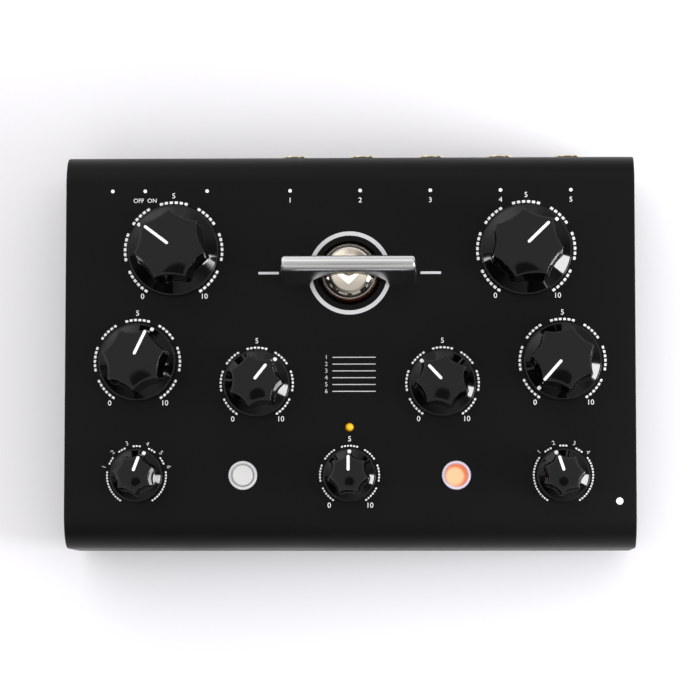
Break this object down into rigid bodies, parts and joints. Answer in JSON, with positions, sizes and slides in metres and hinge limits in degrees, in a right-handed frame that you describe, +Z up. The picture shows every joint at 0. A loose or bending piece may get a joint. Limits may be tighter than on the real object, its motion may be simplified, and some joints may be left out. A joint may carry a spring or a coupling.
{
  "type": "desktop delay unit",
  "caption": "Low black sheet-metal desktop audio unit with fluted knobs in sizes, push buttons, a valve under a metal guard and plug sockets along its rear wall.",
  "frame": {"origin": "under the middle of the whole unit's box, on the surface that the feet stand on", "axes": "+X to the user's right along the longest side, +Y to the rear wall with the sockets, +Z up"},
  "size_m": [0.206, 0.1466, 0.0785],
  "materials": {
    "case_paint": "fine matt black powder coat",
    "tray_paint": "fine matt black powder coat",
    "zinc": "zinc plated",
    "black_steel": "blackened screw",
    "foot_rubber": "matt",
    "nickel": "nickel plated and polished",
    "guard_aluminium": "satin anodised",
    "glass": "clear",
    "valve_metal": "grey anode steel",
    "mica": "translucent mica",
    "ceramic": "glazed ceramic",
    "knob_plastic": "moulded, half gloss",
    "shaft_metal": "turned",
    "housing_metal": "tinned sheet",
    "wafer": "phenolic",
    "board_green": "solder mask",
    "bezel_plastic": "milky",
    "cap_plastic": "milky",
    "cap_lit": "milky, lit from inside",
    "led_yellow": "clear tinted",
    "black_plastic": "moulded",
    "contact_metal": "tinned brass",
    "can_sleeve": "shrink sleeve",
    "ribbon_grey": "ribbed"
  },
  "bodies": {
    "case": {"top_cover": "case_paint", "base_tray": "tray_paint", "clinch_nuts": "zinc", "case_screws": "black_steel", "rubber_feet": "foot_rubber", "board_standoffs": "zinc", "board_screws": "black_steel", "main_board": "board_green", "control_board": "board_green", "pot_housings": "housing_metal", "switch_housings": "black_plastic", "contact_wafers": "wafer", "panel_washers": "zinc", "panel_nuts": "nickel", "button_bezels": "bezel_plastic", "button_cases": "black_plastic", "status_led": "led_yellow", "led_legs": "contact_metal", "valve_envelope": "glass", "valve_pins": "contact_metal", "valve_micas": "mica", "valve_anodes": "valve_metal", "valve_getter": "nickel", "valve_socket": "ceramic", "valve_guard": "guard_aluminium", "guard_screws": "black_steel", "jack_bodies": "black_plastic", "jack_nuts": "nickel", "jack_contacts": "contact_metal", "dc_socket": "black_plastic", "dc_pin": "nickel", "midi_socket": "black_plastic", "midi_core": "black_plastic", "midi_contacts": "contact_metal", "power_switch_case": "housing_metal", "board_headers": "black_plastic", "ribbon_cable": "ribbon_grey", "board_capacitors": "can_sleeve", "board_chips": "black_plastic"},
    "dial_delay_time": {"shaft_delay_time": "shaft_metal", "knob_delay_time": "knob_plastic"},
    "dial_cutoff": {"shaft_cutoff": "shaft_metal", "knob_cutoff": "knob_plastic"},
    "dial_feedback": {"shaft_feedback": "shaft_metal", "knob_feedback": "knob_plastic"},
    "dial_drive": {"shaft_drive": "shaft_metal", "knob_drive": "knob_plastic"},
    "dial_dry_wet": {"shaft_dry_wet": "shaft_metal", "knob_dry_wet": "knob_plastic"},
    "dial_resonance": {"shaft_resonance": "shaft_metal", "knob_resonance": "knob_plastic"},
    "dial_delay_mode": {"shaft_delay_mode": "shaft_metal", "knob_delay_mode": "knob_plastic"},
    "dial_in_level": {"shaft_in_level": "shaft_metal", "knob_in_level": "knob_plastic"},
    "dial_filter_mode": {"shaft_filter_mode": "shaft_metal", "knob_filter_mode": "knob_plastic"},
    "button_tap": {"cap_tap": "cap_plastic"},
    "button_bypass": {"cap_bypass": "cap_lit"},
    "power_tongue": {"power_slider": "black_plastic"}
  },
  "joints": [
    {"name": "turn_delay_time", "type": "hinge", "parent": "case", "child": "dial_delay_time", "pos_m": [-0.0638, 0.0341, 0.057], "axis": [0, 0, -1], "range_deg": [-87, 193]},
    {"name": "turn_cutoff", "type": "hinge", "parent": "case", "child": "dial_cutoff", "pos_m": [0.0638, 0.0341, 0.057], "axis": [0, 0, -1], "range_deg": [-185.5, 94.5]},
    {"name": "turn_feedback", "type": "hinge", "parent": "case", "child": "dial_feedback", "pos_m": [-0.0767, -0.0064, 0.057], "axis": [0, 0, -1], "range_deg": [-165, 115]},
    {"name": "turn_drive", "type": "hinge", "parent": "case", "child": "dial_drive", "pos_m": [0.0767, -0.0064, 0.057], "axis": [0, 0, -1], "range_deg": [-1.5, 278.5]},
    {"name": "turn_dry_wet", "type": "hinge", "parent": "case", "child": "dial_dry_wet", "pos_m": [-0.0335, -0.0142, 0.057], "axis": [0, 0, -1], "range_deg": [-178, 102]},
    {"name": "turn_resonance", "type": "hinge", "parent": "case", "child": "dial_resonance", "pos_m": [0.0335, -0.0142, 0.057], "axis": [0, 0, -1], "range_deg": [-97, 183]},
    {"name": "turn_delay_mode", "type": "hinge", "parent": "case", "child": "dial_delay_mode", "pos_m": [-0.0768, -0.0473, 0.057], "axis": [0, 0, -1], "range_deg": [-90, 60]},
    {"name": "turn_in_level", "type": "hinge", "parent": "case", "child": "dial_in_level", "pos_m": [0, -0.0473, 0.057], "axis": [0, 0, -1], "range_deg": [-140, 140]},
    {"name": "turn_filter_mode", "type": "hinge", "parent": "case", "child": "dial_filter_mode", "pos_m": [0.0768, -0.0473, 0.057], "axis": [0, 0, -1], "range_deg": [-30, 60]},
    {"name": "press_tap", "type": "slide", "parent": "case", "child": "button_tap", "axis": [0, 0, -1], "range_m": [0, 0.0015], "stiffness_N_per_m": 600, "springref_m": -0.001},
    {"name": "press_bypass", "type": "slide", "parent": "case", "child": "button_bypass", "axis": [0, 0, -1], "range_m": [0, 0.0015], "stiffness_N_per_m": 600, "springref_m": -0.001},
    {"name": "slide_power", "type": "slide", "parent": "case", "child": "power_tongue", "axis": [1, 0, 0], "range_m": [-0.004, 0]}
  ]
}
